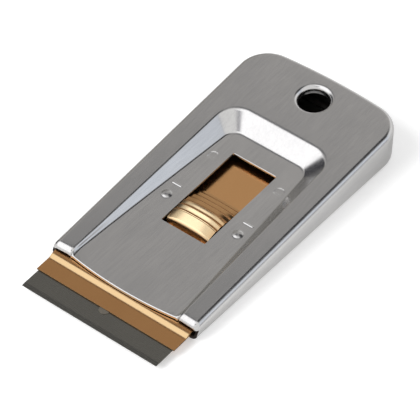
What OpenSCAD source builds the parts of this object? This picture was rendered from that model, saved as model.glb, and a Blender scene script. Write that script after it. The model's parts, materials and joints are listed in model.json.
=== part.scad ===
// Razor blade scraper: a pressed steel body with a brass slide that carries a single-edge blade.
// Millimetres. +Y points to the rear, +Z up, and the blade points to -Y.
// The origin is under the middle of the whole scraper, on the surface that it lies on.
// The slide frame starts on the sunk panel's top face, at the middle of the window's front edge,
// with +Y along the slide's path and +Z square to the panel.

/* [Blade] */
// Length of the cutting edge
blade_w = 38.1; // [30:0.1:50]
// Depth of the blade from its edge to its back
blade_d = 18.9; // [17:0.1:21]
// Thickness of the blade
blade_t = 0.23; // [0.15:0.01:0.35]
// Length of the ground bevel at the edge
bevel_l = 1.2; // [0.4:0.1:2]
// Depth of the folded spine on the blade's back
spine_d = 3; // [2:0.1:4]
// Thickness of the folded spine
spine_t = 0.7; // [0.5:0.05:0.9]
// How far the edge stands out of the jaw's lip
blade_out = 5.7; // [4:0.1:7]

/* [Slide] */
// Thickness of the carrier plate
plate_t = 0.35; // [0.25:0.05:0.5]
// Thickness of the upper jaw's sheet
jaw_t = 0.28; // [0.2:0.02:0.5]
// How far the lip stands out of the panel's front edge
lip_out = 5.6; // [4:0.1:8]
// Length of the flat lip, to the foot of its step
lip_l = 4.2; // [3:0.1:6]
// Height of the lip's step
lip_step = 0.6; // [0.3:0.05:0.8]
// Length of the lip's step
step_run = 1.2; // [0.6:0.1:2]
// How far the jaw's lip reaches past each end of the blade
jaw_over = 0.45; // [0.2:0.05:1]
// Radius of the small tongue in the middle of the lip
tongue_r = 1.3; // [0.8:0.1:2]
// Width of the narrow parts: jaw foot, spring bar and carrier tail
tail_w = 26; // [25:0.5:28]
// How far the carrier tail reaches past the window's rear edge
tail_over = 2.8; // [2:0.1:3.2]
// Thickness of the detent spring's leaf
spring_t = 0.25; // [0.2:0.05:0.3]
// Distance that the slide travels
travel = 14; // [12.5:0.1:14]
// Gap between the jaw and the panel above it
slide_gap = 0.24; // [0.1:0.01:0.4]
// Least gap between the carrier plate and the base plate
run_gap = 0.15; // [0.1:0.01:0.4]
// Gap between each end of the jaw and the side wall
side_gap = 0.4; // [0.2:0.05:0.8]

/* [Thumb button] */
// Length of the button
button_l = 13.1; // [12:0.1:13.5]
// Gap between each side of the button and the window
button_gap = 0.3; // [0.2:0.05:0.6]
// Gap between the button and the window's front edge
button_y = 1.5; // [0.8:0.1:1.6]
// Height of the button's crown above the panel
button_h = 1.3; // [0.6:0.1:1.5]
// Height of the button's rear end above the carrier plate
button_end_h = 0.8; // [0.5:0.1:0.9]
// Distance between thumb ridges
ridge_step = 1.72; // [1.2:0.02:2.4]
// Drop behind each ridge
ridge_d = 0.5; // [0.2:0.02:0.6]

/* [Panel] */
// Width of the window
window_w = 12.45; // [11.5:0.05:13]
// Length of the window
window_l = 26.7; // [26:0.1:28]
// Distance from the window to the front edge of the panel
panel_front_l = 22.2; // [20:0.1:24]
// Distance from the window to the rear edge of the panel
panel_rear_l = 6.1; // [4:0.1:7]
// How far the front edge bows forward in its middle
mouth_bow = 1.2; // [0.6:0.1:2]
// Width of the panel at the mouth
panel_front_w = 30.5; // [28:0.1:30.6]
// Width of the panel at its rear edge
panel_rear_w = 22.4; // [21:0.1:24]
// Corner radius of the panel's rear edge
panel_corner_r = 3.5; // [2:0.1:5]
// Spread of the sunk panel's rear wall, from foot to rim
wall_run = 4.1; // [3:0.1:5]
// Corner radius of the rim at the rear
rim_corner_r = 5.5; // [4:0.1:7]

/* [Body] */
// Length of the body along its sides
body_l = 78.5; // [75:0.5:90]
// Height of the rails above the panel at the mouth
rim_h = 0.78; // [0.5:0.02:1.2]
// Height of the body at its rear
rear_h = 10.5; // [9:0.1:13]
// Width of each rail beside the sunk panel at the mouth
rail_w = 5.2; // [4.5:0.1:5.2]
// Width of each rail beside the sunk panel at its rear
rail_rear_w = 6.2; // [5.5:0.1:7]
// How far each side wall stands further out at the rear
rear_flare = 0.7; // [0:0.1:1.5]
// Radius of the rear corners in plan
corner_r = 8; // [7:0.5:12]
// Radius of the bowed rear edge in plan
crown_r = 165; // [120:5:300]
// Thickness of the body's sheet
sheet_t = 0.7; // [0.5:0.05:0.9]
// Outer radius of the bend along the top edges
bend_r = 1.5; // [1.2:0.1:2.2]
// Outer radius of the bend along the bottom edges
curl_r = 2; // [1.4:0.1:2.2]
// Width of the flat flange turned under the body
flange_w = 2.5; // [1.5:0.1:3.5]
// Thickness of the base plate
base_t = 0.5; // [0.4:0.05:0.8]
// Tilt of the slide against the base, in degrees
slide_tilt = 1.6; // [1:0.1:2.2]

/* [Hang hole] */
// Radius of the hole
hole_r = 3.75; // [3:0.05:4.5]
// Distance from the hole's middle to the rear edge
hole_back = 8.3; // [7:0.1:9.5]
// Depth of the collar drawn down round the hole
collar_h = 2; // [1.2:0.1:2.5]
// Thickness of the collar
collar_t = 0.55; // [0.4:0.05:0.7]
// Radius of the rounded edge at the top of the hole
hole_round = 0.4; // [0.2:0.05:0.5]

/* [Rivets] */
// Radius of the jaw rivets' shanks
jaw_rivet_r = 0.9; // [0.6:0.05:1.1]
// Distance from the outer jaw rivets to the sides of the jaw's foot
jaw_rivet_edge = 4.5; // [3:0.1:7]
// Radius of the button rivets' shanks
button_rivet_r = 0.8; // [0.5:0.05:1]
// Distance between the button rivets
button_rivet_step = 5.2; // [4:0.1:6]
// Thickness of the rivet heads
rivet_head_t = 0.3; // [0.2:0.05:0.35]
// How far a rivet head reaches past its shank
rivet_head_over = 0.7; // [0.4:0.05:1]
// Gap round a rivet's shank
rivet_gap = 0.05; // [0.02:0.01:0.1]

/* [Detents] */
// Distance from the window to the middle of the raised bumps
bump_y = 7; // [6:0.1:8]
// Distance of the bumps and ribs from the middle line
bump_x = 10.2; // [9.9:0.05:10.4]
// Radius of a bump on the panel's face
bump_r = 1.4; // [1.2:0.05:1.6]
// Height of a bump
bump_h = 0.6; // [0.4:0.05:0.8]
// Distance from the window to the small raised ribs
rib_y = 10.8; // [10.2:0.1:12]
// Length of a rib
rib_l = 2.9; // [2:0.1:3.2]
// Half width of a rib
rib_r = 0.4; // [0.3:0.05:0.5]
// Height of a rib
rib_h = 0.3; // [0.2:0.02:0.35]
// Distance of the rear stops from the middle line
stop_x = 9.5; // [9:0.1:10]
// Radius of a rear stop on the panel's face
stop_r = 1.1; // [0.8:0.05:1.1]
// Depth of a rear stop
stop_d = 0.45; // [0.3:0.05:0.6]

/* [Hidden] */

// One overrun for every cut that goes right through
over = 1;
// Thickness of the thin discs that span a form
skin = 0.01;
// Segments round a small curve inside a spanned form
form_fn = 32;
// Segments of a full turn of the bowed rear edge
crown_fn = 300;
// Segments of exact round shapes
$fn = 64;

// Colours of the metals
steel_colour = [0.64, 0.64, 0.63];
base_colour = [0.55, 0.55, 0.55];
blade_colour = [0.34, 0.33, 0.31];
brass_colour = [0.76, 0.56, 0.31];
button_colour = [0.86, 0.67, 0.38];

// Places along the slide, from the window's front edge
mouth_y = mouth_bow - panel_front_l;
panel_rear_y = window_l + panel_rear_l;
rim_rear_y = panel_rear_y + wall_run;
lip_y = -panel_front_l - lip_out;
step_y = lip_y + lip_l;
shelf_y = step_y + step_run;
edge_y = lip_y - blade_out;
blade_back_y = edge_y + blade_d;
// How far the spine's fold stands behind the blade's back
spine_back = 0.2;
spine_y = blade_back_y + spine_back - spine_d;
// Gap in front of and behind the spine in its channel
channel_gap = 0.3;
// Length of the bend between the blade rest and the channel
channel_run = 0.5;
channel_y = spine_y - channel_gap;
// Length of the shelf behind the spine, of its drop to the foot, and gap from foot to window
shelf_rear = 3.4;
drop_run = 2.5;
foot_gap = 1.5;
shelf_end_y = blade_back_y + spine_back + shelf_rear;
foot_y = shelf_end_y + drop_run;
foot_end_y = -foot_gap;
jaw_rivet_y = (foot_y + foot_end_y) / 2;
jaw_rivet_step = tail_w / 2 - jaw_rivet_edge;
tail_end_y = window_l + tail_over;
// How far the lower rest stays behind the lip's front edge
rest_back = 0.4;

// Levels in the slide frame, down from the panel's top face
shelf_z = -sheet_t - slide_gap - jaw_t;
lip_z = shelf_z - lip_step;
blade_z = lip_z - blade_t;
blade_mid_z = blade_z + blade_t / 2;
// Gap under the spine in its channel
spine_seat = 0.015;
tail_top = blade_mid_z - spine_t / 2 - spine_seat;
tail_z = tail_top - plate_t;
foot_z = tail_top + spring_t;

// Widths
jaw_w = blade_w + 2 * jaw_over;
// How far the lower rest reaches past each end of the blade
rest_over = 0.1;
rest_w = blade_w + 2 * rest_over;
mouth_w = jaw_w + 2 * (side_gap + sheet_t);
rear_w = mouth_w + 2 * rear_flare;
rim_front_w = mouth_w - 2 * rail_w;
rim_rear_w = rear_w - 2 * rail_rear_w;

// The slide's place over the base, set by the carrier's lowest corner at the channel
slide_z = sheet_t + base_t + run_gap
    - (channel_y - channel_run) * sin(slide_tilt) - tail_z * cos(slide_tilt);
rear_y = mouth_y + body_l;
origin_y = -(rear_y + edge_y * cos(slide_tilt) - blade_mid_z * sin(slide_tilt)) / 2;

// The body's sloping top
mouth_h = slide_z + mouth_y * sin(slide_tilt) + rim_h;
wedge = atan((rear_h - mouth_h) / body_l);

// Spread of the sunk panel's walls for each unit of their height, at the rear and at the mouth
wall_slope = wall_run / (top_at(rim_rear_y) - slide_z - rim_rear_y * sin(slide_tilt));
mouth_slope = (rim_front_w - panel_front_w) / 2 / rim_h;

// Plan of the rear end
corner_x = rear_w / 2 - corner_r;
crown_y = rear_y - crown_r;
corner_y = crown_y + sqrt((crown_r - corner_r) ^ 2 - corner_x ^ 2);
crown_turn = asin(corner_x / (crown_r - corner_r));

// Bumps and stops, as caps of balls
bump_ball_r = (bump_r ^ 2 + bump_h ^ 2) / (2 * bump_h);
// Wall of a bump, and how far its rear side stays whole behind its middle
bump_wall = 0.45;
bump_open = 0.5;
stop_ball_r = (stop_r ^ 2 + stop_d ^ 2) / (2 * stop_d);
stop_wall = 0.4;
mouth_arc_r = ((rim_front_w / 2) ^ 2 + mouth_bow ^ 2) / (2 * mouth_bow);

// Detent spring: width of an arm, length of its raised end, gap to the panel and size of its nose
arm_w = 2.6;
arm_end = 3;
arm_gap = 0.15;
nose_r = 1;
nose_h = 0.4;
// How far the arm's end reaches behind the nose's middle, and its gap to the stop when drawn back
arm_tip = 1;
stop_gap = 0.4;
stop_y = bump_y + travel + arm_tip + stop_gap + stop_r;
arm_top = -sheet_t - arm_gap;
arm_tip_y = bump_y + arm_tip;
// Gap between the spring's bar and the drop of the jaw
bar_gap = 0.3;

// Thumb button: crown and first ridge from its front, fall of its top to the front, and rounded front edge
button_crown_y = 6.45;
first_ridge_y = 3;
button_front_fall = 1.05;
button_nose = 0.35;
button_w = window_w - 2 * button_gap;
ridges = ceil((button_l - first_ridge_y) / ridge_step);
button_slope = (button_h - tail_top - button_end_h) / (button_l - button_crown_y);
// Share of the button's height that falls away at its sides, and how late it does so
button_side_share = 0.65;
button_side_power = 7;
// Depth of the rivet's hole in the button, and of the shank in it
button_bore = 1.1;
button_shank = 0.9;
// Distance from the button's front to its front rivet
button_rivet_y = 3;
// Steps along the smooth front of the button, and across it
front_steps = 6;
cross_steps = 16;
// The button's rows from front to rear, each with its place and its drop below the crest
button_rows = concat(
    [[0, button_nose]],
    [for (k = [0 : front_steps]) [button_nose + (first_ridge_y - button_nose) * k / front_steps, 0]],
    [for (i = [0 : ridges - 2]) each [[ridge_y(i), ridge_d], [ridge_y(i + 1), 0]]],
    [[ridge_y(ridges - 1), ridge_d], [button_l, ridge_d * (ridge_y(ridges) - button_l) / ridge_step]]
);

function top_at(y) = mouth_h + (y - mouth_y) * tan(wedge);
function along_top(y) = (y - mouth_y - bend_r * sin(wedge)) / cos(wedge);
function panel_half(y) = panel_front_w / 2
    + (panel_rear_w - panel_front_w) / 2 * (y - mouth_y) / (panel_rear_y - mouth_y);
function crest(y) = button_h
    - button_front_fall * max(0, 1 - y / first_ridge_y)
    - button_slope * max(0, y - button_crown_y);
function ridge_y(i) = first_ridge_y + i * ridge_step;

// Frames

// Moves the body's frame so that the origin is under the middle of the scraper
module place() {
    translate([0, origin_y, 0]) children();
}

// The slide frame, on the panel's top face
module on_slide() {
    translate([0, 0, slide_z]) rotate([slide_tilt, 0, 0]) children();
}

// The frame of the body's sloping top, with +Y up the slope from the mouth
module on_top() {
    translate([0, mouth_y, mouth_h]) rotate([wedge, 0, 0]) children();
}

// A side profile in Y and Z, as wide as w in X
module across(w) {
    rotate([90, 0, 90]) linear_extrude(w, center = true) children();
}

// Top shell

// The body's outer form, or its hollow when it is inset by the sheet
module body_form(inset, front_y) {
    hull() {
        on_top() for (side = [-1, 1]) {
            translate([side * (mouth_w / 2 - bend_r), front_y + bend_r, -bend_r])
                sphere(bend_r - inset, $fn = form_fn);
            translate([side * corner_x, along_top(corner_y), -bend_r])
                rotate_extrude($fn = form_fn)
                    translate([corner_r - bend_r, 0])
                        circle(bend_r - inset, $fn = form_fn);
        }
        on_top() translate([0, along_top(rear_y - bend_r) - crown_r + bend_r, -bend_r])
            rotate([0, 0, 90 - crown_turn])
                rotate_extrude(angle = 2 * crown_turn, $fn = crown_fn)
                    translate([crown_r - bend_r, 0])
                        circle(bend_r - inset, $fn = form_fn);
        for (side = [-1, 1]) {
            translate([side * (mouth_w / 2 - curl_r), mouth_y + front_y, curl_r])
                rotate([-90, 0, 0])
                    cylinder(r = curl_r - inset, h = bend_r, $fn = form_fn);
            translate([side * corner_x, corner_y, curl_r])
                rotate_extrude($fn = form_fn)
                    translate([corner_r - curl_r, 0])
                        circle(curl_r - inset, $fn = form_fn);
        }
        translate([0, crown_y, curl_r])
            rotate([0, 0, 90 - crown_turn])
                rotate_extrude(angle = 2 * crown_turn, $fn = crown_fn)
                    translate([crown_r - curl_r, 0])
                        circle(curl_r - inset, $fn = form_fn);
    }
}

// The space over the sunk panel, up past the rim
module recess() {
    ahead_y = -panel_front_l - over;
    hull() {
        on_slide() for (side = [-1, 1]) {
            translate([side * (panel_rear_w / 2 - panel_corner_r), panel_rear_y - panel_corner_r, 0])
                cylinder(r = panel_corner_r, h = skin, $fn = form_fn);
            translate([side * (panel_half(ahead_y) - skin), ahead_y, 0])
                cylinder(r = skin, h = skin, $fn = form_fn);
        }
        on_top() for (side = [-1, 1]) {
            translate([side * (rim_rear_w / 2 - rim_corner_r), along_top(rim_rear_y) - rim_corner_r, over])
                cylinder(r = rim_corner_r + over * wall_slope, h = skin, $fn = form_fn);
            translate([side * (rim_front_w / 2 + over * mouth_slope - skin), along_top(ahead_y), over])
                cylinder(r = skin, h = skin, $fn = form_fn);
        }
    }
}

// The front of the rails, rolled down to the level of the panel
module noses() {
    on_slide() translate([-mouth_w / 2, mouth_y - over, -sheet_t])
        cube([mouth_w, over + sheet_t, rear_h]);
}

// The bowed front of the panel
module panel_front() {
    on_slide() translate([0, 0, -sheet_t]) linear_extrude(sheet_t) intersection() {
        translate([0, mouth_arc_r - panel_front_l]) circle(mouth_arc_r, $fn = crown_fn);
        translate([-rim_front_w / 2, -panel_front_l - over])
            square([rim_front_w, over + mouth_bow + sheet_t]);
    }
}

// A raised bump, open on its rear side
module bump(ball_r, open_y) {
    intersection() {
        translate([0, 0, bump_h - bump_ball_r]) sphere(ball_r);
        translate([-bump_ball_r, -bump_ball_r, -sheet_t - over])
            cube([2 * bump_ball_r, bump_ball_r + open_y, sheet_t + over + bump_h]);
    }
}

// A small raised rib with round ends
module rib() {
    translate([0, 0, rib_h - rib_r]) {
        rotate([0, 90, 0]) cylinder(r = rib_r, h = rib_l - 2 * rib_r, center = true);
        for (side = [-1, 1])
            translate([side * (rib_l / 2 - rib_r), 0, 0]) sphere(rib_r);
    }
}

// The cap of a sunk stop, below the given level
module stop_cap(ball_r, level) {
    intersection() {
        translate([0, 0, stop_ball_r - stop_d]) sphere(ball_r);
        translate([0, 0, level - ball_r]) cube(2 * ball_r, center = true);
    }
}

// The middle line of the hang hole, square to the body's top
module at_hole() {
    on_top() translate([0, along_top(rear_y - hole_back), 0]) children();
}

// The flare that rounds the top edge of the hang hole
module hole_edge() {
    rotate_extrude() difference() {
        translate([0, -hole_round]) square([hole_r + hole_round, hole_round + over]);
        translate([hole_r + hole_round, -hole_round]) circle(hole_round);
    }
}

module top_shell() {
    color(steel_colour) place() difference() {
        union() {
            difference() {
                body_form(0, 0);
                difference() {
                    body_form(sheet_t, -bend_r - over);
                    translate([0, 0, -sheet_t]) recess();
                    noses();
                }
                recess();
            }
            panel_front();
            at_hole() translate([0, 0, -collar_h])
                cylinder(r = hole_r + collar_t, h = collar_h - sheet_t / 2);
            on_slide() for (side = [-1, 1]) {
                translate([side * bump_x, bump_y, 0]) intersection() {
                    bump(bump_ball_r, bump_open);
                    translate([-bump_ball_r, -bump_ball_r, -sheet_t / 2])
                        cube([2 * bump_ball_r, 2 * bump_ball_r, sheet_t + bump_h]);
                }
                translate([side * bump_x, rib_y, 0]) rib();
                translate([side * stop_x, stop_y, 0]) stop_cap(stop_ball_r + stop_wall, -sheet_t / 2);
            }
        }
        on_slide() {
            translate([-window_w / 2, 0, -sheet_t - over])
                cube([window_w, window_l, sheet_t + 2 * over]);
            for (side = [-1, 1]) {
                translate([side * bump_x, bump_y, 0]) bump(bump_ball_r - bump_wall, bump_open + bump_wall);
                translate([side * stop_x, stop_y, 0]) stop_cap(stop_ball_r, over);
            }
        }
        at_hole() {
            translate([0, 0, -collar_h - over]) cylinder(r = hole_r, h = collar_h + 2 * over);
            hole_edge();
        }
        translate([0, 0, -over]) linear_extrude(sheet_t + over + skin)
            plan(curl_r + flange_w, mouth_y - over);
    }
}

// Base plate

// Plan of the body, inset all round, from front_y to the rear
module plan(inset, front_y) {
    polygon([
        [inset - mouth_w / 2, front_y], [mouth_w / 2 - inset, front_y],
        [rear_w / 2 - inset, corner_y], [inset - rear_w / 2, corner_y]
    ]);
    intersection() {
        translate([0, crown_y]) circle(crown_r - inset, $fn = crown_fn);
        translate([-corner_x, corner_y - skin]) square([2 * corner_x, corner_r]);
    }
    for (side = [-1, 1])
        translate([side * corner_x, corner_y]) circle(corner_r - inset);
}

module base_plate() {
    // Gap from the plate's edge to the bend, and from its front to the mouth
    edge_gap = 0.1;
    front_gap = 0.6;
    color(base_colour) place() difference() {
        translate([0, 0, sheet_t]) linear_extrude(base_t)
            plan(curl_r + edge_gap, mouth_y + front_gap);
        at_hole() translate([0, 0, -rear_h - over]) cylinder(r = hole_r, h = rear_h + over);
    }
}

// Brass slide

// A rivet's shank and its head below, from the origin up
module rivet(r, l) {
    cylinder(r = r, h = l);
    translate([0, 0, -rivet_head_t]) cylinder(r = r + rivet_head_over, h = rivet_head_t);
}

module at_jaw_rivet(i) {
    translate([i * jaw_rivet_step, jaw_rivet_y, tail_z]) children();
}

module at_button_rivet(i) {
    translate([0, button_y + button_rivet_y + i * button_rivet_step, tail_z]) children();
}

// The holes of all jaw rivets
module jaw_rivet_holes() {
    for (i = [-1 : 1])
        at_jaw_rivet(i) translate([0, 0, -over])
            cylinder(r = jaw_rivet_r + rivet_gap, h = foot_z + jaw_t - tail_z + 2 * over);
}

module carrier_plate() {
    color(brass_colour) place() on_slide() difference() {
        intersection() {
            across(rest_w) polygon([
                [lip_y + rest_back, blade_z], [channel_y - channel_run, blade_z],
                [channel_y, tail_top], [tail_end_y, tail_top],
                [tail_end_y, tail_z], [channel_y - channel_run, tail_z],
                [channel_y - 2 * channel_run, blade_z - plate_t], [lip_y + rest_back, blade_z - plate_t]
            ]);
            translate([0, 0, tail_z - over]) linear_extrude(blade_z - tail_z + 2 * over) union() {
                translate([-rest_w / 2, lip_y]) square([rest_w, foot_y - lip_y]);
                translate([-tail_w / 2, lip_y]) square([tail_w, tail_end_y - lip_y]);
            }
        }
        jaw_rivet_holes();
        for (i = [0, 1])
            at_button_rivet(i) translate([0, 0, -over])
                cylinder(r = button_rivet_r + rivet_gap, h = plate_t + 2 * over);
    }
}

module upper_jaw() {
    shelf_top = shelf_z + jaw_t;
    lip_top = lip_z + jaw_t;
    color(brass_colour) place() on_slide() difference() {
        union() {
            intersection() {
                across(jaw_w) polygon([
                    [lip_y, lip_top], [step_y, lip_top], [shelf_y, shelf_top], [shelf_end_y, shelf_top],
                    [foot_y, foot_z + jaw_t], [foot_end_y, foot_z + jaw_t], [foot_end_y, foot_z],
                    [foot_y, foot_z], [shelf_end_y, shelf_z], [shelf_y, shelf_z],
                    [step_y, lip_z], [lip_y, lip_z]
                ]);
                translate([0, 0, foot_z - over]) linear_extrude(shelf_top - foot_z + 2 * over) union() {
                    translate([-jaw_w / 2, lip_y]) square([jaw_w, shelf_end_y - lip_y]);
                    translate([-tail_w / 2, lip_y]) square([tail_w, foot_end_y - lip_y]);
                }
            }
            translate([0, lip_y, lip_z]) cylinder(r = tongue_r, h = jaw_t / 2);
        }
        jaw_rivet_holes();
    }
}

module razor_blade() {
    // Size of the square notches at the ends, and gap from them to the spine
    notch = 1.5;
    notch_gap = 1;
    color(blade_colour) place() on_slide() difference() {
        across(blade_w) polygon([
            [edge_y, blade_mid_z], [edge_y + bevel_l, blade_z + blade_t], [blade_back_y, blade_z + blade_t],
            [blade_back_y, blade_z], [edge_y + bevel_l, blade_z]
        ]);
        for (side = [-1, 1])
            translate([side * blade_w / 2, spine_y - notch_gap - notch / 2, blade_mid_z])
                cube([2 * notch, notch, blade_t + over], center = true);
    }
}

module blade_spine() {
    color(steel_colour) place() on_slide() across(blade_w) difference() {
        union() {
            translate([spine_y, blade_mid_z - spine_t / 2]) square([spine_d - spine_t / 2, spine_t]);
            translate([spine_y + spine_d - spine_t / 2, blade_mid_z]) circle(spine_t / 2);
        }
        translate([spine_y - over, blade_z]) square([over + blade_back_y - spine_y, blade_t]);
    }
}

// A point of the button's ridged top
function button_point(row, j) =
    let (
        x = button_w * (j / cross_steps - 1 / 2),
        fall = button_side_share * abs(2 * x / button_w) ^ button_side_power,
        h = (crest(row[0]) - row[1] - tail_top) * (1 - fall)
    ) [x, button_y + row[0], tail_top + h];

// The button's solid: its ridged top, four flat sides and a flat foot
module button_form() {
    rows = len(button_rows);
    cols = cross_steps + 1;
    last = rows - 1;
    foot = rows * cols;
    points = concat(
        [for (row = button_rows) for (j = [0 : cross_steps]) button_point(row, j)],
        [for (y = [0, button_l]) for (side = [-1, 1]) [side * button_w / 2, button_y + y, tail_top]]
    );
    top = [for (i = [0 : last - 1]) for (j = [0 : cross_steps - 1])
        let (a = i * cols + j) each [[a, a + cols, a + cols + 1], [a, a + cols + 1, a + 1]]];
    front = concat([foot + 1, foot], [for (j = [0 : cross_steps]) j]);
    rear = concat([foot + 2, foot + 3], [for (j = [cross_steps : -1 : 0]) last * cols + j]);
    left = concat([foot, foot + 2], [for (i = [last : -1 : 0]) i * cols]);
    right = concat([foot + 3, foot + 1], [for (i = [0 : last]) i * cols + cross_steps]);
    polyhedron(points, concat(top, [front, rear, left, right, [foot, foot + 1, foot + 3, foot + 2]]));
}

module thumb_button() {
    color(button_colour) place() on_slide() difference() {
        button_form();
        for (i = [0, 1])
            at_button_rivet(i) cylinder(r = button_rivet_r + rivet_gap, h = plate_t + button_bore);
    }
}

module detent_spring() {
    bar_y = foot_y + bar_gap;
    color(base_colour) place() on_slide() difference() {
        union() {
            intersection() {
                across(tail_w) polygon([
                    [bar_y, foot_z], [foot_end_y, foot_z],
                    [arm_tip_y - arm_end, arm_top], [arm_tip_y, arm_top],
                    [arm_tip_y, arm_top - spring_t], [arm_tip_y - arm_end, arm_top - spring_t],
                    [foot_end_y, tail_top], [bar_y, tail_top]
                ]);
                translate([0, 0, tail_top - over]) linear_extrude(2 * over + arm_top - tail_top) union() {
                    translate([-tail_w / 2, bar_y]) square([tail_w, foot_end_y - bar_y]);
                    for (side = [-1, 1])
                        translate([side * bump_x - arm_w / 2, bar_y]) square([arm_w, arm_tip_y - bar_y]);
                }
            }
            for (side = [-1, 1])
                translate([side * bump_x, bump_y, arm_top]) intersection() {
                    translate([0, 0, nose_h - nose_r]) sphere(nose_r);
                    translate([-nose_r, -nose_r, -spring_t]) cube([2 * nose_r, 2 * nose_r, nose_r]);
                }
        }
        jaw_rivet_holes();
    }
}

// A jaw rivet, headed above the jaw's foot and below the carrier plate
module jaw_rivet(i) {
    stack = foot_z + jaw_t - tail_z;
    color(brass_colour) place() on_slide() at_jaw_rivet(i) {
        rivet(jaw_rivet_r, stack);
        translate([0, 0, stack]) cylinder(r = jaw_rivet_r + rivet_head_over, h = rivet_head_t);
    }
}

// A button rivet, headed below the carrier plate and closed up in the button
module button_rivet(i) {
    color(brass_colour) place() on_slide() at_button_rivet(i)
        rivet(button_rivet_r, plate_t + button_shank);
}

module jaw_rivet_left() { jaw_rivet(-1); }
module jaw_rivet_middle() { jaw_rivet(0); }
module jaw_rivet_right() { jaw_rivet(1); }
module button_rivet_front() { button_rivet(0); }
module button_rivet_rear() { button_rivet(1); }

top_shell();
base_plate();
carrier_plate();
upper_jaw();
razor_blade();
blade_spine();
thumb_button();
detent_spring();
jaw_rivet_left();
jaw_rivet_middle();
jaw_rivet_right();
button_rivet_front();
button_rivet_rear();
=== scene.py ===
"""Looks of the razor blade scraper: sheet metal, finishes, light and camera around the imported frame."""
import json
import math

import bmesh
import bpy
from mathutils import Matrix, Vector
from mathutils.geometry import delaunay_2d_cdt


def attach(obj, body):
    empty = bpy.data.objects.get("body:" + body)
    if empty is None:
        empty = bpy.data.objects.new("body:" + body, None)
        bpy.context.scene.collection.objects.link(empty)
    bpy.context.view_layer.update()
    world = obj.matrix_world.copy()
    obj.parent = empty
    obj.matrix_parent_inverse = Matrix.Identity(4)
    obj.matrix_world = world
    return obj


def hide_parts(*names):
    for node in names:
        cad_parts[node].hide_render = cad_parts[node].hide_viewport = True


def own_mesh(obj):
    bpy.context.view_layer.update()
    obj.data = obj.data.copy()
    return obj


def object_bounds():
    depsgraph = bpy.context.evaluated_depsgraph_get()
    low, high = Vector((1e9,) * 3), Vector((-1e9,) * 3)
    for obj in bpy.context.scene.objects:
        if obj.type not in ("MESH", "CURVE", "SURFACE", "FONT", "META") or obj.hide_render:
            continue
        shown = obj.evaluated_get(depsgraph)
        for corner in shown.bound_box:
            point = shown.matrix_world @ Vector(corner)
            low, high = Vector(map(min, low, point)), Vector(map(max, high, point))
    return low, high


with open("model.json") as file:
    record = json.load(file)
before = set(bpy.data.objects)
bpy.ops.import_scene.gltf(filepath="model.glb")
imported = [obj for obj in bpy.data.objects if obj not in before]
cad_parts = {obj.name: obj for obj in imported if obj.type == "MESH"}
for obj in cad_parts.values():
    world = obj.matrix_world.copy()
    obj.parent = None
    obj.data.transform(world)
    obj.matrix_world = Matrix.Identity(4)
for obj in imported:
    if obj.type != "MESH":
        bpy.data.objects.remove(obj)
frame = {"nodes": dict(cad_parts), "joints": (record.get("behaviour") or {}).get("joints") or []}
cad_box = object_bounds()
nodes = frame["nodes"]

# Sizes in millimetres. y runs to the rear from the window's front edge, and z up from the sunk panel.
MM = 0.001

# Upper jaw, its tongue, and the top of the carrier plate behind it
lip_y = -27.8
lip_l = 4.2
lip_z = -1.82
step_run = 1.2
shelf_end_y = -11.0
shelf_z = -1.22
foot_y = -8.5
foot_end_y = -1.5
foot_z = -2.05
jaw_t = 0.28
jaw_w = 39.0
jaw_foot_w = 26.0
tongue_r = 1.3
tail_top = -2.3

# Window, sunk panel and mouth
window_w = 12.45
window_l = 26.7
window_corner_r = 0.3
panel_front_l = 22.2
panel_rear_y = 32.8
panel_front_w = 30.5
panel_rear_w = 22.4
panel_corner_r = 3.5
mouth_bow = 1.2
mouth_w = 41.2
rail_w = 5.2
rim_rear_w = 30.2
rim_rear_y = 36.9
rim_corner_r = 5.5
rim_h = 0.78

# Body, with the height of its sunk panel at the window's front edge
body_l = 78.5
rear_w = 42.6
rear_h = 10.498
slide_z = 4.50714
corner_r = 8.0
crown_r = 165.0
sheet_t = 0.7
bend_r = 1.5
curl_r = 2.0
flange_w = 2.5
hole_r = 3.75
hole_back = 8.3
hole_round = 1.2
collar_h = 2.0

# Bumps, ribs and stops
bump_x = 10.2
bump_y = 7.0
bump_r = 1.3
bump_h = 0.34
rib_y = 10.8
rib_l = 2.9
rib_r = 0.28
rib_h = 0.14
stop_x = 9.5
stop_y = 23.5
stop_r = 1.1
stop_d = 0.26
stop_l = 1.5
stop_run = 1.0
stop_wall = 0.14

# Thumb button
button_w = 11.85
button_l = 13.1
button_y = 1.5
button_h = 1.3
button_end_h = 0.8
button_crown_y = 6.45
button_front_fall = 1.05
button_side_share = 0.3
button_side_power = 3
first_ridge_y = 3.0
ridge_step = 1.72
ridge_d = 0.42

# Places that follow from the sizes
slide_axis = Vector(frame["joints"][0]["axis"])
slide_tilt = math.atan2(slide_axis.z, slide_axis.y)
mouth_y = mouth_bow - panel_front_l
rear_y = mouth_y + body_l
origin_y = cad_box[1].y / MM - rear_y
mouth_h = slide_z + mouth_y * math.sin(slide_tilt) + rim_h
wedge = math.atan((rear_h - mouth_h) / body_l)
rim_front_w = mouth_w - 2 * rail_w
mouth_arc_r = ((rim_front_w / 2) ** 2 + mouth_bow ** 2) / (2 * mouth_bow)
corner_x = rear_w / 2 - corner_r
crown_y = rear_y - crown_r
corner_y = crown_y + math.sqrt((crown_r - corner_r) ** 2 - corner_x ** 2)
crown_turn = math.asin(corner_x / (crown_r - corner_r))

# Softness of the bends of the sunk panel's wall: its rim and foot at the mouth, the sides and the rear
rim_soft_mouth = 1.5
rim_soft_side = 1.1
rim_soft_rear = 2.6
foot_soft_mouth = 1.5
foot_soft_side = 1.0
foot_soft_rear = 1.9
fillet_share = 0.92
edge_soft = 0.2
window_soft = 0.18
# The wall's flare at the mouth: its length, and how far the foot runs in and the rim out
flare_l = 4.0
foot_flare = -0.9
rim_flare = 0.7
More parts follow.
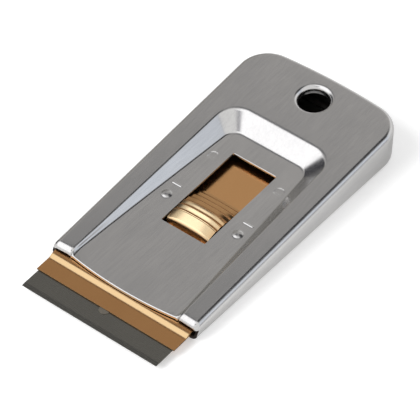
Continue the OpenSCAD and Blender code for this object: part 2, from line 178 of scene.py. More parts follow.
# The front edge's roll: tight on the panel, full on the rails, then a short straight drop
panel_nose_r = 0.3
rail_nose_r = 1.9
panel_nose_turn = math.radians(90)
rail_nose_turn = math.radians(66)
panel_nose_drop = 0.35
rail_nose_drop = 0.05
nose_back = -0.1
corner_roll_r = 0.8
# The share of its thickness that the sheet has in the roll
nose_thin_share = 0.36
# Room round the small pressings, and the softness of their edges
bump_room = 1.8
bump_soft = 0.08
bump_foot = 0.45
rib_room_x = 1.9
rib_room_y = 0.7
rib_soft = 0.1
stop_room_x = 1.38
stop_room_y = 1.8
# Softness of the button's front edge, crown, rear edge, first ridge and other edges
button_nose = 0.55
button_crown_soft = 0.6
button_tip = 0.12
ridge_round = 0.15
button_soft = 0.05
# One ridge's section: shares of its step and of its depth
ridge_shares = [
    (-0.08, 0.13), (-0.04, 0.07), (0.0, 0.07), (0.05, 0.17), (0.1, 0.36), (0.16, 0.62), (0.22, 0.85),
    (0.27, 0.97), (0.32, 1.0), (0.37, 0.96), (0.45, 0.85), (0.6, 0.62), (0.75, 0.38), (0.85, 0.23),
]
# Where the painted shade lies behind each ridge, and its share on the button's front
groove_middle = 0.45
groove_half = 0.2
face_shade_share = 0.62
# Bends and edges of the jaw, and the share of its thickness that the tongue has
step_soft = 1.6
jaw_soft = 0.5
jaw_edge_soft = 0.03
tongue_share = 0.6
# Edges of the plates
plate_soft = 0.03

# Fineness of the meshes
side_steps = 40
side_crowding = 1.5
corner_steps = 14
rear_steps = 14
crown_steps = 16
curl_steps = 8
bend_steps = 10
fillet_steps = 8
wall_steps = 3
nose_steps = 10
front_steps = 5
hole_steps = 72
hole_round_steps = 10
mouth_steps = 36
window_corner_steps = 4
patch_cell = 0.1
stop_cell = 0.06
button_cross_steps = 48
button_nose_steps = 8
button_front_steps = 12
jaw_bend_steps = 6
jaw_cross_steps = 10
tongue_steps = 24
soft_steps = 2
shell_soft_steps = 3
# Edges that turn more than this are rounded; large faces weigh this much in the shading
soft_angle = math.radians(42)
flat_weight = 90
# How close points count as one: on the panel, in millimetres, and in a mesh, in metres
edge_close = 0.001
plan_close = 1e-7
weld_close = 1e-6
speck_close = 1e-7
# The triangulation keeps what lies inside its loops
keep_inside = 1
# Material slots of a sheet's cut edge and its inner face
cut_slot = 1
inner_slot = 2

# Frames of the sunk panel, the body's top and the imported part; up and ahead on the first two
slide_frame = Matrix.Translation((0, 0, slide_z)) @ Matrix.Rotation(slide_tilt, 4, "X")
top_frame = Matrix.Translation((0, mouth_y, mouth_h)) @ Matrix.Rotation(wedge, 4, "X")
row_frame = Matrix.Scale(MM, 4) @ Matrix.Translation((0, origin_y, 0))
top_up = top_frame.to_3x3() @ Vector((0, 0, 1))
top_ahead = top_frame.to_3x3() @ Vector((0, -1, 0))
slide_up = slide_frame.to_3x3() @ Vector((0, 0, 1))
slide_ahead = slide_frame.to_3x3() @ Vector((0, -1, 0))


def mix(a, b, share):
    """The value or point that lies at a share of the way from a to b."""
    return a + (b - a) * share


def ease(share):
    """A share from 0 to 1 that starts and ends softly."""
    share = min(1.0, max(0.0, share))
    return share * share * (3 - 2 * share)


def spread(a, b, steps):
    """Even values from a to b, both included."""
    return [mix(a, b, k / steps) for k in range(steps + 1)]


def arc(centre, radius, start, end, steps):
    """Points of an arc in plan; the angles are in radians."""
    return [
        Vector((centre[0] + radius * math.cos(a), centre[1] + radius * math.sin(a), 0))
        for a in spread(start, end, steps)
    ]


def encloses(loop, point):
    """Whether a plan point lies inside a closed loop."""
    inside = False
    for p, q in zip(loop, loop[1:] + loop[:1]):
        if (p.y > point.y) != (q.y > point.y):
            if point.x < mix(p.x, q.x, (point.y - p.y) / (q.y - p.y)):
                inside = not inside
    return inside


class Sheet:
    """Gathers the points and faces of one piece, in millimetres, and makes its object."""

    def __init__(self):
        self.points = []
        self.full = []
        self.faces = []

    def add(self, points, full=1.0):
        """Adds points, and the share of the sheet's full thickness that they have, from thin to full."""
        first = len(self.points)
        self.points.extend(points)
        self.full.extend(full for _ in points)
        return list(range(first, len(self.points)))

    def grid(self, rows, full=1.0):
        """Quads between rows that all have the same number of points."""
        indices = [self.add(row, full) for row in rows]
        for low, high in zip(indices, indices[1:]):
            for k in range(len(low) - 1):
                self.faces.append((low[k], low[k + 1], high[k + 1], high[k]))

    def plate(self, loops, lift):
        """A flat face inside the first loop and outside the others; lift places its plan points."""
        plan = []
        edges = []
        for loop in loops:
            first = len(plan)
            plan.extend(Vector((p.x, p.y)) for p in loop)
            edges.extend((first + k, first + (k + 1) % len(loop)) for k in range(len(loop)))
        found, _, faces, _, _, _ = delaunay_2d_cdt(plan, edges, [], keep_inside, plan_close)
        indices = self.add([lift(p.x, p.y) for p in found])
        for face in faces:
            middle = sum((found[k] for k in face), Vector((0, 0))) / len(face)
            if not any(encloses(loop, middle) for loop in loops[1:]):
                self.faces.append(tuple(indices[k] for k in face))

    def make(self, name):
        """The object, welded, with its faces turned the same way and up where they face up."""
        mesh = bpy.data.meshes.new(name)
        mesh.from_pydata([row_frame @ p for p in self.points], [], self.faces)
        mesh.attributes.new("full", "FLOAT", "POINT").data.foreach_set("value", self.full)
        shape = bmesh.new()
        shape.from_mesh(mesh)
        bmesh.ops.remove_doubles(shape, verts=shape.verts, dist=weld_close)
        bmesh.ops.dissolve_degenerate(shape, edges=shape.edges, dist=speck_close)
        bmesh.ops.recalc_face_normals(shape, faces=shape.faces)
        top = max(shape.faces, key=lambda f: f.calc_area() * abs(f.normal.z))
        if top.normal.z < 0:
            bmesh.ops.reverse_faces(shape, faces=shape.faces)
        for face in shape.faces:
            face.smooth = True
        shape.to_mesh(mesh)
        shape.free()
        piece = bpy.data.objects.new(name, mesh)
        bpy.context.scene.collection.objects.link(piece)
        return piece


def thicken(piece, thickness):
    """Gives a sheet its thickness below its shown face."""
    solid = piece.modifiers.new("thickness", "SOLIDIFY")
    solid.thickness = thickness * MM
    solid.offset = -1
    solid.use_rim = True
    solid.material_offset = inner_slot
    solid.material_offset_rim = cut_slot


def soften(piece, width, segments=soft_steps):
    """Rounds sharp edges a little and keeps flat faces flat in the shading."""
    bevel = piece.modifiers.new("soft_edges", "BEVEL")
    bevel.width = width * MM
    bevel.material = 0
    bevel.segments = segments
    bevel.limit_method = "ANGLE"
    bevel.angle_limit = soft_angle
    bevel.use_clamp_overlap = True
    normals = piece.modifiers.new("flat_faces", "WEIGHTED_NORMAL")
    normals.mode = "FACE_AREA"
    normals.weight = flat_weight


# Top shell

def mirrored(half):
    """A whole U from its right half, which runs from the mouth to the middle of the rear."""
    return [Vector((-p.x, p.y, p.z)) for p in half] + list(reversed(half[:-1]))


def on_slide(x, y, z=0.0):
    """A point at a place in the sunk panel's plane, at a height above it."""
    return slide_frame @ Vector((x, y, z))


def on_top(x, y, depth=0.0):
    """A point at a place along the body's sloping top, at a depth below it."""
    along = (y - mouth_y - bend_r * math.sin(wedge)) / math.cos(wedge)
    return top_frame @ Vector((x, along, -depth))


def on_deck(x, y):
    """The point of the body's sloping top that lies straight over a plan place."""
    return Vector((x, y, mouth_h + (y - mouth_y) * math.tan(wedge)))


def panel_plan(point):
    """A panel point's place in the panel's own plane."""
    return slide_frame.inverted() @ point


def outline(inset, front_y):
    """The right half of the body's outline in plan, inset all round."""
    side = []
    for y in spread(front_y, corner_y, side_steps):
        half = mix(mouth_w, rear_w, (y - mouth_y) / (corner_y - mouth_y)) / 2
        side.append(Vector((half - inset, y, 0)))
    turn = math.pi / 2 - crown_turn
    corner = arc((corner_x, corner_y), corner_r - inset, 0, turn, corner_steps)
    crown = arc((0, crown_y), crown_r - inset, turn, math.pi / 2, crown_steps)
    return side + corner[1:] + crown[1:]


def mouth_front(x):
    """How far forward the body reaches at a place across its mouth."""
    if abs(x) > rim_front_w / 2:
        return mouth_y
    return mouth_arc_r - panel_front_l - math.sqrt(mouth_arc_r ** 2 - x ** 2)


def flared(y):
    """How much of the mouth's flare is left at a place: all at the mouth, none past its length."""
    return min(1.0, max(0.0, 1 - (y - mouth_y) / flare_l)) ** 2


def recess_line(front_half, rear_half, rear_end, radius, flare, lift):
    """A line of the sunk panel's wall as a function of a place: 0 to 1 along the side, to 2 round the
    corner, to 3 along the rear."""
    centre = Vector((rear_half - radius, rear_end - radius, 0))
    lean = math.atan((front_half - rear_half) / (rear_end - radius - mouth_y))
    start = Vector((front_half, mouth_y, 0))
    tangent = centre + radius * Vector((math.cos(lean), math.sin(lean), 0))

    def at(place):
        if place <= 1:
            p = mix(start, tangent, place)
            p.x += flare * flared(p.y)
        elif place <= 2:
            a = mix(lean, math.pi / 2, place - 1)
            p = centre + radius * Vector((math.cos(a), math.sin(a), 0))
        else:
            p = mix(centre + Vector((0, radius, 0)), Vector((0, rear_end, 0)), place - 2)
        return lift(p.x, p.y)

    return at


wall_foot = recess_line(
    panel_front_w / 2, panel_rear_w / 2, panel_rear_y, panel_corner_r, foot_flare, on_slide
)
wall_rim = recess_line(
    rim_front_w / 2, rim_rear_w / 2, rim_rear_y, rim_corner_r, rim_flare, on_deck
)


def softness(place, y):
    """Radii of the wall's foot and rim at a place."""
    mouth = flared(y)
    foot = mix(foot_soft_side, foot_soft_rear, ease(place - 1))
    rim = mix(rim_soft_side, rim_soft_rear, ease(place - 1))
    return mix(foot, foot_soft_mouth, mouth), mix(rim, rim_soft_mouth, mouth)


def section(place):
    """The wall's section at a place: from the panel up over the soft rim to the deck."""
    foot = wall_foot(place)
    rim = wall_rim(place)
    away = Vector((rim.x - foot.x, rim.y - foot.y, 0))
    run = away.length
    rise = rim.z - foot.z
    away.normalize()
    panel_a = math.atan(math.tan(slide_tilt) * away.y)
    deck_a = math.atan(math.tan(wedge) * away.y)
    wall_a = math.atan2(rise, run)
    foot_r, rim_r = softness(place, foot.y)
    foot_reach = math.tan((wall_a - panel_a) / 2)
    rim_reach = math.tan((wall_a - deck_a) / 2)
    fit = min(1.0, fillet_share * math.hypot(run, rise) / (foot_r * foot_reach + rim_r * rim_reach))
    foot_r *= fit
    rim_r *= fit

    def point(s, z):
        """A point of the section, from its place outwards and its height over the foot."""
        return Vector((foot.x + away.x * s, foot.y + away.y * s, foot.z + z))

    s = -foot_r * (foot_reach * math.cos(panel_a) + math.sin(panel_a))
    z = -foot_r * (foot_reach * math.sin(panel_a) - math.cos(panel_a))
    low = [
        point(s + foot_r * math.sin(a), z - foot_r * math.cos(a))
        for a in spread(panel_a, wall_a, fillet_steps)
    ]
    s = run - rim_r * (rim_reach * math.cos(wall_a) - math.sin(wall_a))
    z = rise - rim_r * (rim_reach * math.sin(wall_a) + math.cos(wall_a))
    over = [
        point(s - rim_r * math.sin(a), z + rim_r * math.cos(a))
        for a in spread(wall_a, deck_a, fillet_steps)
    ]
    middle = [mix(low[-1], over[0], k / wall_steps) for k in range(1, wall_steps)]
    return low + middle + over


def nose_shape(height):
    """Radius, turn and straight drop of the front edge's roll at a height above the panel."""
    share = ease(height / rim_h)
    radius = mix(panel_nose_r, rail_nose_r, share)
    turn = mix(panel_nose_turn, rail_nose_turn, share)
    drop = mix(panel_nose_drop, rail_nose_drop, share)
    return radius, turn, drop


def roll_start(x, height):
    """Where the front edge begins to roll down, at a height above the panel."""
    foot = panel_front_w / 2 + foot_flare
    rim = rim_front_w / 2 + rim_flare
    end = mouth_front(x) + nose_back * ease((abs(x) - foot) / (rim - foot))
    radius, turn, _ = nose_shape(height)
    return end + radius * math.sin(turn)


def recess_rows():
    """Half rows of the wall from panel to deck; each starts where its front edge begins to roll."""
    side_l = wall_rim(1).y - mouth_y
    rows = []
    for j, p in enumerate(section(0)):
        first = (roll_start(p.x, panel_plan(p).z) - mouth_y) / side_l
        places = [mix(first, 1, (k / side_steps) ** side_crowding) for k in range(side_steps)]
        places += spread(1, 2, corner_steps)
        places += spread(2, 3, rear_steps)[1:]
        rows.append([section(place)[j] for place in places])
    return rows


def rolled(point, up, ahead, radius, turn, drop):
    """The front edge's roll from a point, from its top to the end of its straight drop."""
    line = [
        point + radius * ((math.cos(a) - 1) * up + math.sin(a) * ahead)
        for a in spread(0, turn, nose_steps)
    ]
    return line + [line[-1] + drop * (math.cos(turn) * ahead - math.sin(turn) * up)]


def rolled_edge(point):
    """The roll of the panel, the wall or the deck."""
    height = min(rim_h, max(0.0, panel_plan(point).z))
    up = mix(slide_up, top_up, height / rim_h)
    ahead = mix(slide_ahead, top_ahead, height / rim_h)
    return rolled(point, up, ahead, *nose_shape(height))


def rolled_corner(row, a):
    """The roll at the outer bend, where it turns from the deck's into the wall's."""
    up = Vector((math.cos(a), 0, 0)) + top_up * math.sin(a)
    return rolled(row[0], up, top_ahead, corner_roll(a), corner_turn(a), rail_nose_drop)


def corner_roll(a):
    """Radius of the roll at a turn of the outer bend, from the wall to the deck."""
    return mix(corner_roll_r, rail_nose_r, math.sin(a))


def corner_turn(a):
    """How far the roll turns at a turn of the outer bend."""
    return mix(math.pi / 2, rail_nose_turn, math.sin(a))


def patch(sheet, centre_x, centre_y, half_x, half_y, cell, height):
    """A fine grid on the panel with a height at each place. Gives its edge, which the panel omits."""
    xs = spread(centre_x - half_x, centre_x + half_x, round(2 * half_x / cell))
    ys = spread(centre_y - half_y, centre_y + half_y, round(2 * half_y / cell))
    sheet.grid([[on_slide(x, y, height(x - centre_x, y - centre_y)) for x in xs] for y in ys])
    edge = [(x, ys[0]) for x in xs[:-1]]
    edge += [(xs[-1], y) for y in ys[:-1]]
    edge += [(x, ys[-1]) for x in reversed(xs[1:])]
    edge += [(xs[0], y) for y in reversed(ys[1:])]
    return [Vector((x, y, 0)) for x, y in edge]


def bump_height(x, y):
    """A pressed bump: a cap with a soft foot."""
    ball = (bump_r ** 2 + bump_h ** 2) / (2 * bump_h)
    off = min(math.hypot(x, y), ball)
    cap = math.sqrt(ball ** 2 - off ** 2) + bump_h - ball
    soft = (cap + math.sqrt(cap ** 2 + bump_soft ** 2)) / 2
    return soft * ease((bump_r + bump_foot - off) / bump_foot)


def rib_height(x, y):
    """A small raised rib with round ends."""
    off = math.hypot(max(0.0, abs(x) - rib_l / 2 + rib_r), y)
    return rib_h * ease((rib_r + rib_soft - off) / (rib_r + rib_soft))


def stop_height(x, y):
    """A tab pressed down at its rear, with steep sides, that runs out to the front."""
    off = abs(x) / stop_r
    if off >= 1:
        return 0.0
    rear = stop_r * math.sqrt(1 - off ** 2)
    depth = stop_d * ease((y + stop_l) / stop_run)
    return -depth * ease((rear - y) / stop_wall) * ease((1 - off) * stop_r / stop_wall)


def window_loop():
    """The window's edge, with small round corners."""
    x = window_w / 2 - window_corner_r
    front = window_corner_r
    rear = window_l - window_corner_r
    loop = []
    for k, centre in enumerate([(x, front), (x, rear), (-x, rear), (-x, front)]):
        start = math.pi / 2 * (k - 1)
        loop += arc(centre, window_corner_r, start, start + math.pi / 2, window_corner_steps)
    return loop


def thin_nose(piece):
    """Thins the sheet where its front edge rolls, so that its inner face stays clear of itself."""
    group = piece.vertex_groups.new(name="full")
    for k, value in enumerate(piece.data.attributes["full"].data):
        group.add([k], value.value, "REPLACE")
    solid = piece.modifiers["thickness"]
    solid.vertex_group = group.name
    solid.thickness_vertex_group = nose_thin_share


def soft_window(piece):
    """Rounds the window's rear edge, which catches the light."""
    weights = piece.data.attributes.new("bevel_weight_edge", "FLOAT", "EDGE")
    to_plan = (row_frame @ slide_frame).inverted()

    def on_edge(p):
        """Whether a point lies on the window's rear edge."""
        return abs(p.y - window_l) < edge_close and abs(p.x) < window_w / 2 and abs(p.z) < edge_close

    for edge, weight in zip(piece.data.edges, weights.data):
        ends = [to_plan @ piece.data.vertices[k].co for k in edge.vertices]
        weight.value = float(all(on_edge(p) for p in ends))
    bevel = piece.modifiers.new("soft_window", "BEVEL")
    bevel.limit_method = "WEIGHT"
    bevel.width = window_soft * MM
    bevel.segments = shell_soft_steps
    bevel.material = 0


def make_shell():
    """The pressed body in one sheet: flange, walls, deck, hang hole, rolled front and sunk panel."""
    sheet = Sheet()
    # Flange, bottom curl, wall and top bend
    rows = [outline(curl_r + flange_w, mouth_y)]
    for a in spread(0, math.pi / 2, curl_steps):
        height = curl_r * (1 - math.cos(a))
        line = outline(curl_r * (1 - math.sin(a)), mouth_y)
        rows.append([Vector((p.x, p.y, height)) for p in line])
    bend_turns = spread(0, math.pi / 2, bend_steps)
    bend = []
    for a in bend_turns:
        front_y = mouth_y + nose_back + corner_roll(a) * math.sin(corner_turn(a))
        line = outline(bend_r * (1 - math.cos(a)), front_y)
        bend.append([on_top(p.x, p.y, bend_r * (1 - math.sin(a))) for p in line])
    sheet.grid([mirrored(row) for row in rows + bend])
    # Wall of the sunk panel
    wall = recess_rows()
    sheet.grid([mirrored(row) for row in wall])
    # Rolled front of the rails, the wall and the panel
    deck_front = [mix(bend[-1][0], wall[-1][0], k / front_steps) for k in range(1, front_steps)]
    panel_front = []
    for x in spread(panel_plan(wall[0][0]).x, 0, mouth_steps)[1:]:
        panel_front.append(on_slide(x, roll_start(x, 0.0) / math.cos(slide_tilt)))
    rolls = [rolled_corner(row, a) for row, a in zip(bend, bend_turns)]
    rolls += [rolled_edge(p) for p in deck_front]
    rolls += [rolled_edge(row[0]) for row in reversed(wall)]
    rolls += [rolled_edge(p) for p in panel_front]
    for side in (-1, 1):
        sheet.grid([[Vector((side * p.x, p.y, p.z)) for p in roll[1:]] for roll in rolls], 0.0)
        sheet.grid([[Vector((side * p.x, p.y, p.z)) for p in roll[:2]] for roll in rolls])
    # Sloping deck with the hang hole
    centre = on_top(0, rear_y - hole_back)

    def ring(radius, depth):
        """A ring round the hang hole, at a depth below the deck."""
        turn = top_frame.to_3x3()
        points = arc((0, 0), radius, 0, 2 * math.pi, hole_steps)
        return [centre + turn @ Vector((p.x, p.y, -depth)) for p in points]

    loop = mirrored(bend[-1]) + deck_front + list(reversed(mirrored(wall[-1])))
    loop += [Vector((-p.x, p.y, p.z)) for p in reversed(deck_front)]
    sheet.plate([loop, ring(hole_r + hole_round, 0)[:-1]], on_deck)
    rings = [
        ring(hole_r + hole_round * (1 - math.sin(a)), hole_round * (1 - math.cos(a)))
        for a in spread(0, math.pi / 2, hole_round_steps)
    ]
    sheet.grid(rings + [ring(hole_r, collar_h)])
    # Sunk panel with its window, bumps, ribs and stops
    border = mirrored(wall[0])
    front = panel_front + [Vector((-p.x, p.y, p.z)) for p in reversed(panel_front[:-1])]
    loops = [[panel_plan(p) for p in border + front], window_loop()]
    pressings = [
        (bump_x, bump_y, bump_room, bump_room, patch_cell, bump_height),
        (bump_x, rib_y, rib_room_x, rib_room_y, patch_cell, rib_height),
        (stop_x, stop_y, stop_room_x, stop_room_y, stop_cell, stop_height),
    ]
    for side in (-1, 1):
        for x, *rest in pressings:
            loops.append(patch(sheet, side * x, *rest))
    sheet.plate(loops, on_slide)
    piece = sheet.make("pressed_shell")
    thicken(piece, sheet_t)
    thin_nose(piece)
    soft_window(piece)
    soften(piece, edge_soft, shell_soft_steps)
    return piece


shell = make_shell()
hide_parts("top_shell")
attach(shell, "body")


# Thumb button

def button_crest(y):
    """Height of the button's crests along its middle: rising at the front, level, then sloping down."""
    slope = (button_h - tail_top - button_end_h) / (button_l - button_crown_y)
    past = (y - button_crown_y + math.hypot(y - button_crown_y, button_crown_soft)) / 2
    return button_h - button_front_fall * max(0.0, 1 - y / first_ridge_y) - slope * past


def button_profile():
    """Places along the button and how far its top lies below the crest there."""
    rows = []
    for a in spread(0, math.pi / 2, button_nose_steps):
        rows.append((button_nose * (1 - math.cos(a)), button_nose * (1 - math.sin(a))))
    front = spread(button_nose, first_ridge_y - ridge_round, button_front_steps)
    rows += [(y, 0.0) for y in front[1:]]
    start = first_ridge_y
    while start < button_l:
        for place_share, drop_share in ridge_shares:
            y = start + place_share * ridge_step
            if y < button_l - button_tip:
                rows.append((y, drop_share * ridge_d))
        start += ridge_step
    rows += [(button_l - button_tip, ridge_d), (button_l, ridge_d + button_tip)]
    return rows


def make_button():
    """The ridged button: a top that falls off to its sides, walls and a flat foot."""
    sheet = Sheet()
    top = []
    for y, drop in button_profile():
        full = button_crest(y) - drop - tail_top
        row = []
        for turn in spread(-math.pi / 2, math.pi / 2, button_cross_steps):
            share = math.sin(turn)
            height = full * (1 - button_side_share * abs(share) ** button_side_power)
            row.append(on_slide(share * button_w / 2, button_y + y, tail_top + height))
        top.append(row)
    sheet.grid(top)

    def foot(p):
        """The point of the foot under a point of the top."""
        q = panel_plan(p)
        return on_slide(q.x, q.y, tail_top)

    for edge in (top[0], top[-1], [row[0] for row in top], [row[-1] for row in top]):
        sheet.grid([edge, [foot(p) for p in edge]])
    border = [foot(p) for p in top[0]] + [foot(row[-1]) for row in top[1:]]
    border += [foot(p) for p in reversed(top[-1][:-1])]
    border += [foot(row[0]) for row in reversed(top[1:-1])]
    sheet.faces.append(tuple(sheet.add(border)))
    piece = sheet.make("ridged_button")
    # Shade painted darker into the groove behind each ridge and onto the button's front face
    painted_shade = piece.data.attributes.new("painted_shade", "FLOAT", "POINT")
    to_plan = (row_frame @ slide_frame).inverted()
    for vertex, value in zip(piece.data.vertices, painted_shade.data):
        y = (to_plan @ vertex.co).y - button_y
        past = (y - first_ridge_y) % ridge_step - groove_middle
        lies = math.exp(-(past / groove_half) ** 2) if y > first_ridge_y - groove_half else 0.0
        value.value = max(lies, face_shade_share * ease((button_nose - y) / button_nose))
    soften(piece, button_soft)
    return piece


button = make_button()
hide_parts("thumb_button")
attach(button, "slide")


# Upper jaw

def rounded(corners, radii, steps):
    """A line through corners with each inner corner rounded to its radius."""
    line = [corners[0]]
    for before, corner, after, radius in zip(corners, corners[1:], corners[2:], radii):
        to_before = (before - corner).normalized()
        to_after = (after - corner).normalized()
        half = to_before.angle(to_after) / 2
        reach = radius / math.tan(half)
        middle = corner + (to_before + to_after).normalized() * radius / math.sin(half)
        start = corner + to_before * reach - middle
        end = corner + to_after * reach - middle
        for share in spread(0, 1, steps):
            line.append(middle + radius * start.slerp(end, share).normalized())
    return line + [corners[-1]]


def make_jaw():
    """The bent sheet: lip, step, shelf, drop and foot."""
    sheet = Sheet()
    step_y = lip_y + lip_l
    levels = [
        (lip_y, lip_z), (step_y, lip_z), (step_y + step_run, shelf_z),
        (shelf_end_y, shelf_z), (foot_y, foot_z), (foot_end_y, foot_z),
    ]
    corners = [Vector((0, y, z + jaw_t)) for y, z in levels]
    line = rounded(corners, [step_soft, step_soft, jaw_soft, jaw_soft], jaw_bend_steps)
    half = jaw_w / 2
    foot_half = jaw_foot_w / 2
    middle = spread(-foot_half, foot_half, jaw_cross_steps)
    side = spread(foot_half, half, jaw_cross_steps)[1:]
    xs = [-x for x in reversed(side)] + middle + side
    wide = [p for p in line if p.y <= shelf_end_y]
    narrow = [p for p in line if p.y >= wide[-1].y]
    sheet.grid([[on_slide(x, p.y, p.z) for x in xs] for p in wide])
    sheet.grid([[on_slide(x, p.y, p.z) for x in middle] for p in narrow])
    piece = sheet.make("bent_jaw")
    thicken(piece, jaw_t)
    soften(piece, jaw_edge_soft)
    return piece


def make_tongue():
    """The small round tongue that the lip's lower face runs out into."""
    sheet = Sheet()
    thick = jaw_t * tongue_share
    rim = arc((0, lip_y), tongue_r, math.pi, 2 * math.pi, tongue_steps)
    top = [on_slide(p.x, p.y, lip_z + thick) for p in rim]
    low = [on_slide(p.x, p.y, lip_z) for p in rim]
    sheet.grid([top + top[:1], low + low[:1]])
    sheet.faces.append(tuple(sheet.add(top)))
    sheet.faces.append(tuple(reversed(sheet.add(low))))
    piece = sheet.make("lip_tongue")
    soften(piece, jaw_edge_soft)
    return piece


jaw = make_jaw()
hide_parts("upper_jaw")
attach(jaw, "slide")
tongue = make_tongue()
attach(tongue, "slide")


# Detent spring

def make_spring():
    """The leaf spring: a copy of the imported one with a mesh of its own."""
    piece = bpy.data.objects.new("leaf_spring", nodes["detent_spring"].data.copy())
    bpy.context.scene.collection.objects.link(piece)
    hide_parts("detent_spring")
    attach(piece, "slide")
    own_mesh(piece)
    return piece


spring = make_spring()

for name in ("base_plate", "carrier_plate", "razor_blade", "blade_spine"):
    soften(nodes[name], plate_soft)


# Materials

# Noise: waves per metre of the clouds, finer detail, and the values that it is spread between
cloud_scale = (160, 90, 160)
cloud_detail = 3.0
streak_detail = 4.0
noise_rough = 0.55
noise_low = 0.3
noise_high = 0.7
# How much of a colour's change the clouds and the streaks each make
tint_share = 0.5
# Depth of the grain, in metres
grain_d = 0.00002
# How far a face leans forward where the painted highlight starts and where it is full
sheen_start = 0.14
sheen_full = 0.3
# How much rougher the button is where its shade is painted
painted_shade_rough = 0.35
# A sheared edge: depths below the panel, in millimetres, where the torn part, painted dark as shade,
# starts and is full
torn_shade_high = 0.3
torn_shade_low = 0.45
torn_scale = (900, 900, 900)
torn_detail = 2.0
torn_rough = (0.42, 0.5)
torn_strength = 0.05
# A mix node's colour sockets
mix_under = 6
mix_over = 7
mix_colour = 2


class Nodes:
    """Short ways to build the nodes of a material or a world."""

    def __init__(self, owner, coordinates):
        owner.use_nodes = True
        self.owner = owner
        self.tree = owner.node_tree
        self.place = self.tree.nodes.new("ShaderNodeTexCoord").outputs[coordinates]

    def put(self, value, socket):
        """Links a socket to another one, or gives it a number, a vector or a colour."""
        if isinstance(value, bpy.types.NodeSocket):
            self.tree.links.new(value, socket)
        elif isinstance(value, tuple):
            socket.default_value = (*value, 1)
        else:
            socket.default_value = value

    def noise(self, scale, detail):
        """Noise with its own waves per metre along each axis."""
        mapping = self.tree.nodes.new("ShaderNodeMapping")
        mapping.inputs["Scale"].default_value = scale
        self.put(self.place, mapping.inputs["Vector"])
        noise = self.tree.nodes.new("ShaderNodeTexNoise")
        noise.inputs["Scale"].default_value = 1.0
        noise.inputs["Detail"].default_value = detail
        noise.inputs["Roughness"].default_value = noise_rough
        self.put(mapping.outputs["Vector"], noise.inputs["Vector"])
        return noise.outputs["Fac"]

    def ranged(self, value, low, high, start=noise_low, end=noise_high, course="LINEAR"):
        """Runs from low to high while the value runs from start to end."""
        node = self.tree.nodes.new("ShaderNodeMapRange")
        node.interpolation_type = course
        node.inputs["From Min"].default_value = start
        node.inputs["From Max"].default_value = end
        node.inputs["To Min"].default_value = low
        node.inputs["To Max"].default_value = high
        self.put(value, node.inputs["Value"])
        return node.outputs["Result"]

    def measured(self, operation, *vectors):
        """A number worked out from vectors, such as their dot product."""
        node = self.tree.nodes.new("ShaderNodeVectorMath")
        node.operation = operation
        for vector, socket in zip(vectors, node.inputs):
            self.put(vector, socket)
        return node.outputs["Value"]

    def worked(self, operation, *values):
        """A number worked out from numbers, such as their sum."""
        node = self.tree.nodes.new("ShaderNodeMath")
        node.operation = operation
        for value, socket in zip(values, node.inputs):
            self.put(value, socket)
        return node.outputs["Value"]

    def mixed(self, share, under, over):
        """A colour that goes from the one under to the one over with the share."""
        node = self.tree.nodes.new("ShaderNodeMix")
        node.data_type = "RGBA"
        self.put(share, node.inputs["Factor"])
        self.put(under, node.inputs[mix_under])
        self.put(over, node.inputs[mix_over])
        return node.outputs[mix_colour]

    def metal(self, tint, rough, grain, strength):
        """Finishes a metal with its colour, roughness and grain."""
        shader = self.tree.nodes["Principled BSDF"]
        shader.inputs["Metallic"].default_value = 1.0
        bump = self.tree.nodes.new("ShaderNodeBump")
        bump.inputs["Strength"].default_value = strength
        bump.inputs["Distance"].default_value = grain_d
        self.put(grain, bump.inputs["Height"])
        self.put(bump.outputs["Normal"], shader.inputs["Normal"])
        self.put(tint, shader.inputs["Base Color"])
        self.put(rough, shader.inputs["Roughness"])
        return self.owner


def brushed(name, colour, dark, grain, rough, strength, painted_sheen=None, painted_shade=None):
    """Metal with a brushed grain along the axis where grain is small, and faint clouds in its colour.
    It can take a painted highlight, lighter and paler, where it leans forward, and painted shade, darker
    and rougher, where its mesh says so."""
    made = Nodes(bpy.data.materials.new(name), "Object")
    streaks = made.noise(grain, streak_detail)
    clouds = made.noise(cloud_scale, cloud_detail)
    changes = [made.ranged(value, 0.0, tint_share) for value in (clouds, streaks)]
    tint = made.mixed(made.worked("ADD", *changes), colour, dark)
    roughness = made.ranged(streaks, *rough)
    # Painted highlight: lighter and paler where the face leans forward
    if painted_sheen:
        normal = made.tree.nodes.new("ShaderNodeNewGeometry").outputs["Normal"]
        lean = made.measured("DOT_PRODUCT", normal, slide_ahead)
        tint = made.mixed(made.ranged(lean, 0.0, 1.0, sheen_start, sheen_full), tint, painted_sheen)
    # Painted shade: darker and rougher where the mesh's mask says
    if painted_shade:
        lies = made.tree.nodes.new("ShaderNodeAttribute")
        lies.attribute_name = "painted_shade"
        tint = made.mixed(lies.outputs["Fac"], tint, painted_shade)
        dull = made.ranged(lies.outputs["Fac"], 0.0, painted_shade_rough, 0.0, 1.0)
        roughness = made.worked("ADD", roughness, dull)
    return made.metal(tint, roughness, streaks, strength)


def sheared(name, bright, dark):
    """A sheared edge of the panel: burnished at its top, torn below and painted dark there as shade."""
    made = Nodes(bpy.data.materials.new(name), "Object")
    height = made.measured("DOT_PRODUCT", made.place, slide_up)
    panel = (row_frame @ on_slide(0, 0)).dot(slide_up)
    share = made.ranged(height, 0.0, 1.0, panel - torn_shade_low * MM, panel - torn_shade_high * MM)
    tint = made.mixed(share, dark, bright)
    grain = made.noise(torn_scale, torn_detail)
    return made.metal(tint, made.ranged(grain, *torn_rough), grain, torn_strength)


def dress(piece, *materials):
    """Gives a piece its materials: shown face, then cut edge and inner face where it has them."""
    piece.data.materials.clear()
    for material in materials:
        piece.data.materials.append(material)


